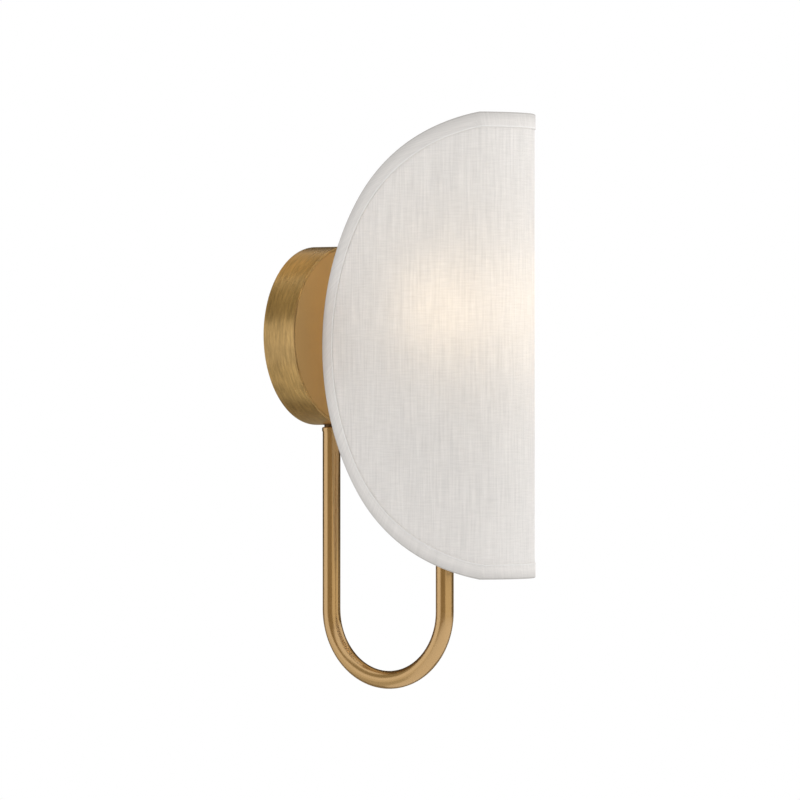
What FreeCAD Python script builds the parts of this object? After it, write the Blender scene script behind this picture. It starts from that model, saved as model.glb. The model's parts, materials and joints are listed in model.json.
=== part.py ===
import FreeCAD, Part
import Sketcher
import math
import os
import re

# Fabric shade wall light: a round backplate, a J-shaped tube hanging from its
# underside and a bent linen shade carried by the lamp holder on the tube's end.
# Frame: the wall is the plane Y = 0, the light stands out towards -Y, +Z is up
# and the origin is the centre of the backplate on the wall. Millimetres.

V = FreeCAD.Vector
DOC = FreeCAD.newDocument("shade_wall_light")

SIZES = {
    # backplate
    "canopy_radius": 60.0,
    "canopy_depth": 25.0,
    "canopy_wall": 1.5,
    "face_thickness": 1.5,
    "face_seam": 0.2,
    "face_chamfer": 0.5,
    "lip_width": 2.5,
    "lip_thickness": 1.0,
    # bracket on the wall
    "strap_width": 20.0,
    "strap_thickness": 2.0,
    "strap_corner": 3.0,
    "strap_gap": 2.5,
    "tab_gap": 3.5,
    "tab_reach": 18.0,
    "box_spacing": 60.0,
    "slot_width": 4.5,
    "slot_length": 14.0,
    "grub_radius": 2.0,
    "grub_length": 8.5,
    "grub_sunk": 0.4,
    "grub_socket": 1.0,
    "grub_socket_depth": 2.0,
    "hole_clearance": 0.15,
    "thread_fit": 0.05,
    "edge_break": 0.6,
    "earth_inset": 11.0,
    "earth_head_radius": 4.0,
    "earth_head_height": 2.6,
    "earth_screw_radius": 2.0,
    "driver_slot": 1.0,
    "driver_slot_depth": 1.2,
    # connector in the backplate
    "block_width": 20.0,
    "block_height": 17.0,
    "block_depth": 12.0,
    "block_level": 5.0,
    "pole_spacing": 10.0,
    "pole_bore": 1.8,
    "pole_screw_radius": 1.7,
    "pole_screw_length": 5.0,
    "pole_screw_sunk": 0.5,
    # tube
    "tube_radius": 6.0,
    "tube_wall": 1.0,
    "inlet_reach": 12.5,
    "bend_radius": 46.5,
    "bend_drop": 184.0,
    "tube_end_drop": 78.0,
    "collar_gap": 1.4,
    "collar_length": 3.0,
    "collar_step": 0.4,
    "nipple_fit": 0.1,
    "nipple_bore": 3.6,
    "nipple_grip": 9.0,
    "nut_fit": 0.02,
    "nut_width": 14.0,
    "nut_height": 3.0,
    "saddle_radius": 9.0,
    "saddle_height": 2.0,
    "fork_clearance": 0.5,
    "wire_radius": 1.1,
    "wire_offset": 1.9,
    "wire_bend": 6.0,
    "wire_entry": 10.0,
    "earth_loop_gap": 5.0,
    "earth_loop_top": 22.0,
    "earth_loop_front": 12.0,
    "terminal_gap": 0.3,
    # lamp holder, heights measured from the end of the tube
    "boss_radius": 9.0,
    "boss_height": 4.0,
    "cap_radius": 20.5,
    "cap_shoulder": 13.0,
    "cap_bevel_top": 13.0,
    "cap_height": 20.0,
    "cap_wall": 1.2,
    "skirt_radius": 19.2,
    "skirt_wall": 1.6,
    "skirt_top": 58.0,
    "thread_depth": 0.4,
    "shoulder_radius": 24.0,
    "shoulder_height": 36.0,
    "shoulder_thickness": 2.0,
    "porcelain_height": 10.0,
    "porcelain_bottom": 17.0,
    "shell_bore_radius": 13.2,
    "shell_wall": 0.3,
    "shell_flange": 2.0,
    "shell_height": 25.2,
    "contact_width": 6.0,
    "contact_foot": 8.0,
    "contact_step": 3.5,
    "contact_ramp": 2.0,
    "contact_end": 3.0,
    "contact_thickness": 0.5,
    "contact_rise": 1.8,
    "terminal_radius": 1.8,
    "terminal_place": 9.0,
    "terminal_sunk": 3.0,
    # threaded shade ring
    "ring_clearance": 0.3,
    "ring_collar": 3.2,
    "ring_height": 10.0,
    "ring_radius": 28.5,
    "ring_flange": 2.5,
    "rib_radius": 1.0,
    "rib_count": 24,
    # shade
    "shade_front": 169.2,
    "nose_radius": 41.0,
    "nose_angle": 64.5,
    "side_radius": 127.0,
    "side_angle": 36.0,
    "trim_middle": 34.5,
    "corner_setback": 14.13,
    "shade_half_height": 153.5,
    "shade_centre_drop": 7.5,
    "fabric_thickness": 0.8,
    "liner_thickness": 0.5,
    "hem_width": 10.0,
    "hem_thickness": 0.5,
    "roll_width": 4.0,
    "edge_wire": 2.2,
    "sheet_spare": 4.0,
    "fitter_bore_radius": 20.5,
    "fitter_margin": 1.5,
    "fitter_thickness": 1.5,
    "arm_run": 6.0,
    "arm_bend": 5.0,
    # bulb, heights measured from its contact
    "bulb_gap": 0.3,
    "tip_radius": 4.6,
    "tip_height": 1.6,
    "insulator_height": 3.6,
    "bulb_cap_radius": 13.0,
    "bulb_cap_groove": 0.8,
    "bulb_cap_wall": 0.9,
    "bulb_cap_height": 22.0,
    "bulb_cap_lead": 1.2,
    "insulator_rim": 0.4,
    "insulator_lip": 0.6,
    "tip_bevel": 1.4,
    "glass_radius": 15.0,
    "glass_wall": 0.8,
    "glass_neck": 10.8,
    "glass_sunk": 4.0,
    "glass_collar": 1.0,
    "glass_shoulder": 7.0,
    "glass_length": 86.0,
    "light_height": 70.0,
    "filament_length": 46.0,
    "filament_radius": 0.9,
    "filament_circle": 6.0,
    "filament_count": 4,
    "stem_radius": 1.5,
    "stem_flare": 3.0,
    "stem_flare_height": 5.0,
    "stem_disc": 0.8,
}

SHEET = DOC.addObject("Spreadsheet::Sheet", "sizes")
for row, (alias, size) in enumerate(SIZES.items(), start=1):
    SHEET.set(f"A{row}", alias)
    SHEET.set(f"B{row}", str(size))
    SHEET.setAlias(f"B{row}", alias)
DOC.recompute()

PIECES = []
MATCH = 0.01  # measured lengths that differ by less count as the same


# ---------------------------------------------------------------- expressions

def cells(text):
    """An expression in which each size's name is read from the sheet."""
    return re.sub(r"[a-z_]+", lambda m: "sizes." + m[0] if m[0] in SIZES else m[0], text)


def number(text):
    return float(SHEET.evalExpression(cells(text)))


def bind(thing, prop, text):
    thing.setExpression(prop, cells(text))


def place(thing, x="0", y="0", z="0", turn=None):
    """Put a piece at x, y, z, each an expression of the sizes."""
    if turn is not None:
        thing.Placement = FreeCAD.Placement(V(), turn)
    for axis, text in zip("xyz", (x, y, z)):
        if text != "0":
            bind(thing, f"Placement.Base.{axis}", text)


def finish_piece(thing, label):
    thing.Label = label
    PIECES.append(thing)
    return thing


# Local Z points away from the wall and local Y points up.
FROM_WALL = FreeCAD.Rotation(V(1, 0, 0), 90)

WALL_SIDE = {"turn": FROM_WALL}
BEYOND = "1"  # how far a cutting outline runs past what it cuts
LAMP_AXIS = "-(inlet_reach + 2 * bend_radius)"
TUBE_END = "-tube_end_drop"
NIPPLE_RADIUS = "(tube_radius - tube_wall - nipple_fit)"
NUT_BORE = "(tube_radius - tube_wall - nipple_fit + nut_fit)"
COLLAR_TOP = "-(canopy_radius + collar_gap)"
STRAP_TOP = "(canopy_radius - canopy_wall - strap_gap)"
STRAP_BOTTOM = "(canopy_radius - canopy_wall - saddle_height - nut_height - tab_gap)"
NIPPLE_RISE = f"(canopy_radius + collar_gap - {STRAP_BOTTOM} + strap_thickness)"
EARTH_HEIGHT = f"({STRAP_TOP} - earth_inset)"
THREAD_CREST = "(skirt_radius + thread_depth)"
PORCELAIN_TOP = "(porcelain_bottom + porcelain_height)"
FITTER_SEAT = "(shoulder_height + shoulder_thickness - tube_end_drop)"
FITTER_RADIUS = "(ring_radius + fitter_margin)"
BULB_BASE = "(porcelain_bottom + porcelain_height + contact_rise + bulb_gap - tube_end_drop)"
CAP_FOOT = "(tip_height + insulator_height)"
CAP_HEAD = "(tip_height + insulator_height + bulb_cap_height)"


# ---------------------------------------------------------------- sketches

def new_sketch(body, role, name):
    sketch = body.newObject("Sketcher::SketchObject", name)
    plane = [p for p in body.Origin.OriginFeatures if p.Role == role][0]
    sketch.AttachmentSupport = [(plane, "")]
    sketch.MapMode = "FlatFace"
    return sketch


def pin(sketch, kind, geometry, end, text):
    """Hold one coordinate of a point, or a circle's centre, at an expression."""
    index = sketch.addConstraint(
        Sketcher.Constraint(kind, -1, 1, geometry, end, number(text)))
    bind(sketch, f"Constraints[{index}]", text)


def closed_outline(sketch, corners):
    """Lines through the corners; a third item makes the next edge an arc.

    The arc's radius is that item, and it bulges to the right of its chord,
    or to the left where the radius starts with a minus.
    """
    points = [V(number(c[0]), number(c[1]), 0) for c in corners]
    count = len(points)
    ends = []
    for i, corner in enumerate(corners):
        start, end = points[i], points[(i + 1) % count]
        if len(corner) == 2:
            sketch.addGeometry(Part.LineSegment(start, end), False)
            ends.append((1, 2))
            continue
        radius = number(corner[2])
        chord = end - start
        half = chord.Length / 2
        right = V(chord.y, -chord.x, 0).normalize()
        rise = abs(radius) - math.sqrt(max(radius ** 2 - half ** 2, 0))
        middle = (start + end) / 2 + right * math.copysign(rise, radius)
        if radius > 0:
            sketch.addGeometry(Part.Arc(start, middle, end), False)
            ends.append((1, 2))
        else:
            sketch.addGeometry(Part.Arc(end, middle, start), False)
            ends.append((2, 1))
    for i in range(count):
        following = (i + 1) % count
        sketch.addConstraint(Sketcher.Constraint(
            "Coincident", i, ends[i][1], following, ends[following][0]))
    for i, corner in enumerate(corners):
        pin(sketch, "DistanceX", i, ends[i][0], corner[0])
        pin(sketch, "DistanceY", i, ends[i][0], corner[1])
        if len(corner) == 3:
            index = sketch.addConstraint(
                Sketcher.Constraint("Radius", i, abs(number(corner[2]))))
            bind(sketch, f"Constraints[{index}]", corner[2].lstrip("-"))


def circles(sketch, centres, radius):
    for x, y in centres:
        index = sketch.addGeometry(
            Part.Circle(V(number(x), number(y), 0), V(0, 0, 1), number(radius)), False)
        pin(sketch, "DistanceX", index, 3, x)
        pin(sketch, "DistanceY", index, 3, y)
        size = sketch.addConstraint(Sketcher.Constraint("Radius", index, number(radius)))
        bind(sketch, f"Constraints[{size}]", radius)


def rectangle(x_low, x_high, y_low, y_high):
    return [(x_low, y_low), (x_high, y_low), (x_high, y_high), (x_low, y_high)]


# ---------------------------------------------------------------- features

def new_body(name):
    return DOC.addObject("PartDesign::Body", name)


def turned(name, corners):
    """A body turned about its own Z axis from corners given as (radius, height)."""
    body = new_body(name)
    sketch = new_sketch(body, "XZ_Plane", name + "_section")
    closed_outline(sketch, corners)
    solid = body.newObject("PartDesign::Revolution", name + "_turned")
    solid.Profile = sketch
    solid.ReferenceAxis = (sketch, ["V_Axis"])
    solid.Angle = 360
    DOC.recompute()
    return body


def pad(body, sketch, length, middle=False):
    solid = body.newObject("PartDesign::Pad", sketch.Name + "_pad")
    solid.Profile = sketch
    solid.Midplane = middle
    bind(solid, "Length", length)
    DOC.recompute()
    return solid


def cut(body, sketch, length, reverse=False, middle=False):
    """A pocket, which has to take something away."""
    before = body.Shape.Volume
    pocket = body.newObject("PartDesign::Pocket", sketch.Name + "_cut")
    pocket.Profile = sketch
    pocket.Reversed = reverse
    pocket.Midplane = middle
    bind(pocket, "Length", length)
    DOC.recompute()
    if not body.Shape.Volume < before:
        raise RuntimeError(f"{pocket.Name} cuts nothing")


def circle_edges(body, radius, height):
    """The names of the body's round edges of that radius at that local height."""
    names = []
    for i, edge in enumerate(body.Shape.Edges, start=1):
        curve = edge.Curve
        if not isinstance(curve, Part.Circle) or abs(curve.Radius - radius) > MATCH:
            continue
        local = body.Placement.inverse().multVec(curve.Center)
        if abs(local.z - height) < MATCH:
            names.append(f"Edge{i}")
    return names


def chamfer_circle(body, radius, height, size):
    tip = body.Tip
    feature = body.newObject("PartDesign::Chamfer", body.Name + "_chamfer")
    feature.Base = (tip, circle_edges(body, number(radius), number(height)))
    bind(feature, "Size", size)
    DOC.recompute()


# ---------------------------------------------------------------- backplate

def make_canopy_rim():
    inner = "canopy_radius - canopy_wall"
    lip = f"{inner} - lip_width"
    seat = "canopy_depth - face_thickness"
    rim = turned("canopy_rim", [
        ("canopy_radius", "0"),
        ("canopy_radius", "canopy_depth"),
        (inner, "canopy_depth"),
        (inner, seat),
        (lip, seat),
        (lip, f"{seat} - lip_thickness"),
        (inner, f"{seat} - lip_thickness"),
        (inner, "0"),
    ])
    inlet = new_sketch(rim, "XZ_Plane", "canopy_inlet")
    circles(inlet, [("0", "inlet_reach")], f"{NIPPLE_RADIUS} + hole_clearance")
    cut(rim, inlet, "canopy_radius + canopy_wall", reverse=True)
    grub = new_sketch(rim, "XZ_Plane", "canopy_grub_hole")
    circles(grub, [("0", "inlet_reach")], "grub_radius + hole_clearance")
    cut(rim, grub, "canopy_radius + canopy_wall")
    place(rim, **WALL_SIDE)
    return finish_piece(rim, "canopy_rim")


def make_canopy_face():
    radius = "canopy_radius - canopy_wall - face_seam"
    face = turned("canopy_face", rectangle("0", radius, "0", "face_thickness"))
    chamfer_circle(face, radius, "face_thickness", "face_chamfer")
    place(face, y="-(canopy_depth - face_thickness)", **WALL_SIDE)
    return finish_piece(face, "canopy_face")


def make_wall_bracket():
    bracket = new_body("wall_bracket")
    side = new_sketch(bracket, "YZ_Plane", "bracket_side")
    closed_outline(side, [
        (f"-{STRAP_BOTTOM}", "0"),
        (STRAP_TOP, "0"),
        (STRAP_TOP, "tab_reach"),
        (f"{STRAP_TOP} - strap_thickness", "tab_reach"),
        (f"{STRAP_TOP} - strap_thickness", "strap_thickness"),
        (f"strap_thickness - {STRAP_BOTTOM}", "strap_thickness"),
        (f"strap_thickness - {STRAP_BOTTOM}", "tab_reach"),
        (f"-{STRAP_BOTTOM}", "tab_reach"),
    ])
    pad(bracket, side, "strap_width", middle=True)
    half = f"({NIPPLE_RADIUS} + fork_clearance)"
    fork = new_sketch(bracket, "XZ_Plane", "bracket_fork")
    circles(fork, [("0", "inlet_reach")], half)
    cut(bracket, fork, f"{STRAP_BOTTOM} + {BEYOND}", reverse=True)
    mouth = new_sketch(bracket, "XZ_Plane", "bracket_fork_mouth")
    closed_outline(mouth, rectangle(
        f"-{half}", half, "inlet_reach", f"tab_reach + {BEYOND}"))
    cut(bracket, mouth, f"{STRAP_BOTTOM} + {BEYOND}", reverse=True)
    grub = new_sketch(bracket, "XZ_Plane", "bracket_grub_thread")
    circles(grub, [("0", "inlet_reach")], "grub_radius")
    cut(bracket, grub, f"{STRAP_TOP} + {BEYOND}")
    slots = new_sketch(bracket, "XY_Plane", "bracket_slots")
    end = "(slot_length - slot_width) / 2"
    for side_sign in ("-", ""):
        add_slot(slots, f"{side_sign}box_spacing / 2", end)
    cut(bracket, slots, "strap_thickness", reverse=True)
    earth = new_sketch(bracket, "XY_Plane", "bracket_earth_thread")
    circles(earth, [("0", EARTH_HEIGHT)], "earth_screw_radius")
    cut(bracket, earth, "strap_thickness", reverse=True)
    strap = bracket.Tip
    corners = bracket_bends(bracket)
    bends = bracket.newObject("PartDesign::Fillet", "bracket_bends")
    bends.Base = (strap, corners)
    bind(bends, "Radius", "strap_corner")
    DOC.recompute()
    place(bracket, **WALL_SIDE)
    return finish_piece(bracket, "wall_bracket")


def add_slot(sketch, middle, end):
    """A round-ended slot along the sketch's Y, centred on X = 0 and middle."""
    first = len(sketch.Geometry)
    half = "slot_width / 2"
    low, high = f"{middle} - {end}", f"{middle} + {end}"
    radius = number(half)
    low_centre, high_centre = V(0, number(low), 0), V(0, number(high), 0)
    up = V(0, 0, 1)
    sketch.addGeometry([
        Part.ArcOfCircle(Part.Circle(high_centre, up, radius), 0, math.pi),
        Part.LineSegment(high_centre - V(radius, 0, 0), low_centre - V(radius, 0, 0)),
        Part.ArcOfCircle(Part.Circle(low_centre, up, radius), math.pi, 2 * math.pi),
        Part.LineSegment(low_centre + V(radius, 0, 0), high_centre + V(radius, 0, 0)),
    ], False)
    for a, a_end, b, b_end in ((0, 2, 1, 1), (1, 2, 2, 1), (2, 2, 3, 1), (3, 2, 0, 1)):
        sketch.addConstraint(
            Sketcher.Constraint("Tangent", first + a, a_end, first + b, b_end))
    for arc, height in ((first, high), (first + 2, low)):
        pin(sketch, "DistanceX", arc, 3, "0")
        pin(sketch, "DistanceY", arc, 3, height)
    index = sketch.addConstraint(Sketcher.Constraint("Radius", first, radius))
    bind(sketch, f"Constraints[{index}]", half)


def bracket_bends(bracket):
    """The two outer edges where the strap turns into its tabs."""
    heights = (number(STRAP_TOP), -number(STRAP_BOTTOM))
    names = []
    for i, edge in enumerate(bracket.Shape.Edges, start=1):
        a, b = edge.Vertexes[0].Point, edge.Vertexes[-1].Point
        along_width = abs(abs(a.x - b.x) - number("strap_width")) < MATCH
        on_wall = abs(a.z) < MATCH and abs(b.z) < MATCH
        if along_width and on_wall and min(abs(a.y - h) for h in heights) < MATCH:
            names.append(f"Edge{i}")
    return names


def make_canopy_screw():
    screw = turned("canopy_screw", [
        ("0", "0"),
        ("grub_radius - edge_break", "0"),
        ("grub_radius - thread_fit", "edge_break"),
        ("grub_radius - thread_fit", "grub_length"),
        ("grub_socket", "grub_length"),
        ("grub_socket", "grub_length - grub_socket_depth"),
        ("0", "grub_length - grub_socket_depth - edge_break"),
    ])
    place(screw, y="-inlet_reach", z="canopy_radius - grub_sunk - grub_length")
    return finish_piece(screw, "canopy_screw")


def make_earth_screw():
    top = "strap_thickness + earth_head_height"
    shank = "earth_screw_radius - thread_fit"
    screw = turned("earth_screw", [
        ("0", "thread_fit"),
        (shank, "thread_fit"),
        (shank, "strap_thickness"),
        ("earth_head_radius", "strap_thickness"),
        ("earth_head_radius", f"{top} - edge_break"),
        ("earth_head_radius - edge_break", top),
        ("0", top),
    ])
    slot = new_sketch(screw, "YZ_Plane", "earth_screw_slot")
    closed_outline(slot, rectangle(
        "-driver_slot / 2", "driver_slot / 2",
        f"{top} - driver_slot_depth", f"{top} + {BEYOND}"))
    cut(screw, slot, "3 * earth_head_radius", middle=True)
    place(screw, z=EARTH_HEIGHT, **WALL_SIDE)
    return finish_piece(screw, "earth_screw")


def make_connector_block():
    block = new_body("connector_block")
    plan = new_sketch(block, "XY_Plane", "connector_plan")
    half = "block_height / 2"
    closed_outline(plan, rectangle("-block_width / 2", "block_width / 2", f"-{half}", half))
    pad(block, plan, "block_depth")
    poles = new_sketch(block, "XZ_Plane", "connector_poles")
    poles_x = ("-pole_spacing / 2", "pole_spacing / 2")
    circles(poles, [(x, "block_depth / 2") for x in poles_x], "pole_bore")
    cut(block, poles, "block_height", middle=True)
    screws = new_sketch(block, "XY_Plane", "connector_screw_holes")
    rows = ("-block_height / 4", "block_height / 4")
    circles(screws, [(x, y) for x in poles_x for y in rows],
            "pole_screw_radius + hole_clearance")
    cut(block, screws, "block_depth", reverse=True)
    place(block, y="-strap_thickness", z="block_level", **WALL_SIDE)
    return finish_piece(block, "connector_block")


def make_connector_screws():
    """Four clamping screws, their heads just below the block's front."""
    parts = []
    for column in ("-pole_spacing / 2", "pole_spacing / 2"):
        for height in ("-block_height / 4", "block_height / 4"):
            screw = DOC.addObject("Part::Cylinder", "pole_screw")
            bind(screw, "Radius", "pole_screw_radius")
            bind(screw, "Height", "pole_screw_length")
            place(screw, x=column, z=f"block_level + {height}",
                  y="-(strap_thickness + block_depth - pole_screw_length - pole_screw_sunk)",
                  turn=FROM_WALL)
            parts.append(screw)
    group = DOC.addObject("Part::Compound", "connector_screws")
    group.Links = parts
    return finish_piece(group, "connector_screws")


# ---------------------------------------------------------------- tube

def make_inlet_nipple():
    nipple = turned("inlet_nipple", rectangle(
        "nipple_bore", NIPPLE_RADIUS, "-collar_length - nipple_grip", NIPPLE_RISE))
    place(nipple, y="-inlet_reach", z=COLLAR_TOP)
    return finish_piece(nipple, "inlet_nipple")


def make_tube_collar():
    collar = turned("tube_collar", [
        (NUT_BORE, "-collar_length"),
        ("tube_radius + collar_step", "-collar_length"),
        ("tube_radius + collar_step", "-edge_break"),
        ("tube_radius + collar_step - edge_break", "0"),
        (NUT_BORE, "0"),
    ])
    place(collar, y="-inlet_reach", z=COLLAR_TOP)
    return finish_piece(collar, "tube_collar")


def make_saddle_washer():
    """The washer inside the rim, hollowed below to sit on the rim's curve."""
    disc = turned("saddle_blank", rectangle(
        f"{NIPPLE_RADIUS} + hole_clearance", "saddle_radius", f"-{BEYOND}", "saddle_height"))
    place(disc, y="-inlet_reach", z="canopy_wall - canopy_radius")
    inside = DOC.addObject("Part::Cylinder", "saddle_curve")
    bind(inside, "Radius", "canopy_radius - canopy_wall")
    bind(inside, "Height", "canopy_depth")
    inside.Placement = FreeCAD.Placement(V(), FROM_WALL)
    washer = DOC.addObject("Part::Common", "saddle_washer")
    washer.Base = disc
    washer.Tool = inside
    return finish_piece(washer, "saddle_washer")


def make_lock_nut():
    hexagon = DOC.addObject("Part::Prism", "nut_hexagon")
    hexagon.Polygon = 6
    bind(hexagon, "Circumradius", "nut_width / 2 / cos(30)")
    bind(hexagon, "Height", "nut_height")
    place(hexagon, y="-inlet_reach", z="saddle_height + canopy_wall - canopy_radius")
    bore = DOC.addObject("Part::Cylinder", "nut_bore")
    bind(bore, "Radius", NUT_BORE)
    bind(bore, "Height", "nut_height")
    place(bore, y="-inlet_reach", z="saddle_height + canopy_wall - canopy_radius")
    nut = DOC.addObject("Part::Cut", "lock_nut")
    nut.Base = hexagon
    nut.Tool = bore
    return finish_piece(nut, "lock_nut")


def make_swan_tube():
    """The J-shaped tube, bent once, from the collar round to the lamp holder."""
    tube = new_body("swan_tube")
    ring = new_sketch(tube, "XY_Plane", "tube_section")
    circles(ring, [("0", "0")], "tube_radius")
    circles(ring, [("0", "0")], "tube_radius - tube_wall")
    path = new_sketch(tube, "YZ_Plane", "tube_path")
    down = "bend_drop - canopy_radius - collar_gap - collar_length"
    up = "bend_drop - tube_end_drop"
    radius, drop, rise = number("bend_radius"), number(down), number(up)
    path.addGeometry([
        Part.LineSegment(V(0, 0, 0), V(0, -drop, 0)),
        Part.ArcOfCircle(Part.Circle(V(-radius, -drop, 0), V(0, 0, 1), radius), -math.pi, 0),
        Part.LineSegment(V(-2 * radius, -drop, 0), V(-2 * radius, rise - drop, 0)),
    ], False)
    path.addConstraint([
        Sketcher.Constraint("Coincident", 0, 1, -1, 1),
        Sketcher.Constraint("Tangent", 0, 2, 1, 2),
        Sketcher.Constraint("Tangent", 1, 1, 2, 1),
        Sketcher.Constraint("Vertical", 0),
        Sketcher.Constraint("Vertical", 2),
    ])
    for constraint, text in (
            (Sketcher.Constraint("DistanceY", 0, 2, 0, 1, drop), down),
            (Sketcher.Constraint("DistanceY", 2, 1, 2, 2, rise), up),
            (Sketcher.Constraint("Radius", 1, radius), "bend_radius")):
        index = path.addConstraint(constraint)
        bind(path, f"Constraints[{index}]", text)
    pipe = tube.newObject("PartDesign::AdditivePipe", "tube_bent")
    pipe.Profile = ring
    pipe.Spine = (path, [])
    DOC.recompute()
    place(tube, y="-inlet_reach", z=f"{COLLAR_TOP} - collar_length")
    return finish_piece(tube, "swan_tube")


# ---------------------------------------------------------------- lamp holder

def on_lamp_axis(thing, lift="0"):
    place(thing, y=LAMP_AXIS, z=f"{TUBE_END} + {lift}")


def make_socket_nipple():
    nipple = turned("socket_nipple", rectangle(
        "nipple_bore", NIPPLE_RADIUS, "-nipple_grip", "boss_height + cap_wall + nut_height"))
    on_lamp_axis(nipple)
    return finish_piece(nipple, "socket_nipple")


def make_socket_cap():
    """The lower half of the lamp holder: a boss, a flat and a bevelled cup."""
    inside = "boss_height + cap_wall"
    cap = turned("socket_cap", [
        (NUT_BORE, "0"),
        ("boss_radius", "0"),
        ("boss_radius", "boss_height"),
        ("cap_shoulder", "boss_height"),
        ("cap_radius", "cap_bevel_top"),
        ("cap_radius", "cap_height"),
        ("cap_radius - cap_wall", "cap_height"),
        ("cap_radius - cap_wall", "cap_bevel_top"),
        ("cap_shoulder - cap_wall / 2", inside),
        (NUT_BORE, inside),
    ])
    on_lamp_axis(cap)
    return finish_piece(cap, "socket_cap")


def make_socket_skirt():
    """The sleeve round the lamp's cap, with its shade shoulder and threaded neck."""
    inner = "skirt_radius - skirt_wall"
    ledge = "shoulder_height + shoulder_thickness"
    skirt = turned("socket_skirt", [
        (inner, "porcelain_bottom"),
        ("skirt_radius", "porcelain_bottom"),
        ("skirt_radius", "shoulder_height"),
        ("shoulder_radius", "shoulder_height"),
        ("shoulder_radius", ledge),
        (THREAD_CREST, ledge),
        (THREAD_CREST, "skirt_top - edge_break"),
        (f"{THREAD_CREST} - edge_break", "skirt_top"),
        (inner, "skirt_top"),
    ])
    on_lamp_axis(skirt)
    return finish_piece(skirt, "socket_skirt")


def make_terminal_block():
    """The porcelain insert that carries the contacts."""
    block = turned("terminal_block", rectangle(
        "0", "skirt_radius - skirt_wall - nipple_fit", "0", "porcelain_height"))
    holes = new_sketch(block, "XY_Plane", "porcelain_holes")
    circles(holes, [("-terminal_place", "0"), ("terminal_place", "0")],
            "terminal_radius + hole_clearance")
    cut(block, holes, "porcelain_height", reverse=True)
    on_lamp_axis(block, "porcelain_bottom")
    return finish_piece(block, "terminal_block")


def make_screw_shell():
    """The sleeve that the lamp screws into, with the flange it stands on."""
    bore = "shell_bore_radius"
    outside = f"{bore} + shell_wall"
    shell = turned("screw_shell", [
        (f"{bore} - shell_flange", "0"),
        (outside, "0"),
        (outside, "shell_height"),
        (bore, "shell_height"),
        (bore, "shell_wall"),
        (f"{bore} - shell_flange", "shell_wall"),
    ])
    on_lamp_axis(shell, PORCELAIN_TOP)
    return finish_piece(shell, "screw_shell")


def make_centre_contact():
    """A bent strip whose free end bears on the lamp's contact."""
    contact = new_body("centre_contact")
    side = new_sketch(contact, "XZ_Plane", "contact_side")
    thick, under = "contact_thickness", "contact_rise - contact_thickness"
    top_of_ramp = "contact_ramp - contact_step"
    closed_outline(side, [
        ("-contact_foot", "0"),
        ("-contact_step", "0"),
        (top_of_ramp, under),
        ("contact_end", under),
        ("contact_end", "contact_rise"),
        (f"{top_of_ramp} - {thick} / 2", "contact_rise"),
        (f"-contact_step - {thick} / 2", thick),
        ("-contact_foot", thick),
    ])
    pad(contact, side, "contact_width", middle=True)
    on_lamp_axis(contact, PORCELAIN_TOP)
    return finish_piece(contact, "centre_contact")


def make_terminal_screws():
    parts = []
    for x in ("-terminal_place", "terminal_place"):
        screw = DOC.addObject("Part::Cylinder", "terminal_screw")
        bind(screw, "Radius", "terminal_radius")
        bind(screw, "Height", "porcelain_height - terminal_sunk")
        place(screw, x=x, y=LAMP_AXIS, z=f"{TUBE_END} + porcelain_bottom + terminal_sunk")
        parts.append(screw)
    group = DOC.addObject("Part::Compound", "terminal_screws")
    group.Links = parts
    return finish_piece(group, "terminal_screws")


def make_shade_ring():
    """The threaded ring that holds the shade down, with ribs to grip."""
    bore = f"{THREAD_CREST} + ring_clearance"
    collar = f"{bore} + ring_collar"
    ring = turned("shade_ring", [
        (bore, "0"),
        ("ring_radius", "0"),
        ("ring_radius", "ring_flange"),
        (collar, "ring_flange"),
        (collar, "ring_height"),
        (bore, "ring_height"),
    ])
    rib = new_sketch(ring, "XY_Plane", "ring_rib")
    circles(rib, [(collar, "0")], "rib_radius")
    bar = pad(ring, rib, "ring_height")
    pattern = ring.newObject("PartDesign::PolarPattern", "ring_ribs")
    pattern.Originals = [bar]
    pattern.Axis = (rib, ["N_Axis"])
    pattern.Angle = 360
    pattern.setExpression("Occurrences", cells("rib_count"))
    ring.Tip = pattern
    DOC.recompute()
    on_lamp_axis(ring, "shoulder_height + shoulder_thickness + fitter_thickness")
    return finish_piece(ring, "shade_ring")


# ---------------------------------------------------------------- shade

class ShadePlan:
    """The bent sheet seen from above, offset inwards from the fabric's face.

    A nose arc, two flatter side arcs and two straight tails, each tangent to
    the next. Angles are measured at the nose from the direction -Y.
    """

    def __init__(self, offset):
        self.nose = number("nose_radius") - offset
        self.side = number("side_radius") - offset
        self.turn = math.radians(number("nose_angle"))
        self.back = self.turn + math.radians(number("side_angle"))
        self.nose_centre = number("shade_front - nose_radius")
        shift = self.nose - self.side
        self.side_x = shift * math.sin(self.turn)
        self.side_reach = self.nose_centre + shift * math.cos(self.turn)

    def nose_point(self, angle):
        reach = self.nose_centre + self.nose * math.cos(angle)
        return V(self.nose * math.sin(angle), -reach, 0)

    def side_point(self, angle):
        reach = self.side_reach + self.side * math.cos(angle)
        return V(self.side_x + self.side * math.sin(angle), -reach, 0)

    def tail_point(self, reach):
        """The point of the straight tail at that distance from the wall."""
        start = self.side_point(self.back)
        slope = math.cos(self.back) / math.sin(self.back)
        return V(start.x + (-start.y - reach) * slope, -reach, 0)

    def edges(self, tail_reach):
        """From the left tail round the nose to the right tail."""
        half = (self.turn + self.back) / 2
        right = [self.nose_point(self.turn), self.side_point(half),
                 self.side_point(self.back), self.tail_point(tail_reach)]
        left = [V(-p.x, p.y, 0) for p in right]
        return [
            Part.LineSegment(left[3], left[2]).toShape(),
            Part.Arc(left[2], left[1], left[0]).toShape(),
            Part.Arc(left[0], self.nose_point(0), right[0]).toShape(),
            Part.Arc(right[0], right[1], right[2]).toShape(),
            Part.LineSegment(right[2], right[3]).toShape(),
        ]


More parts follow.
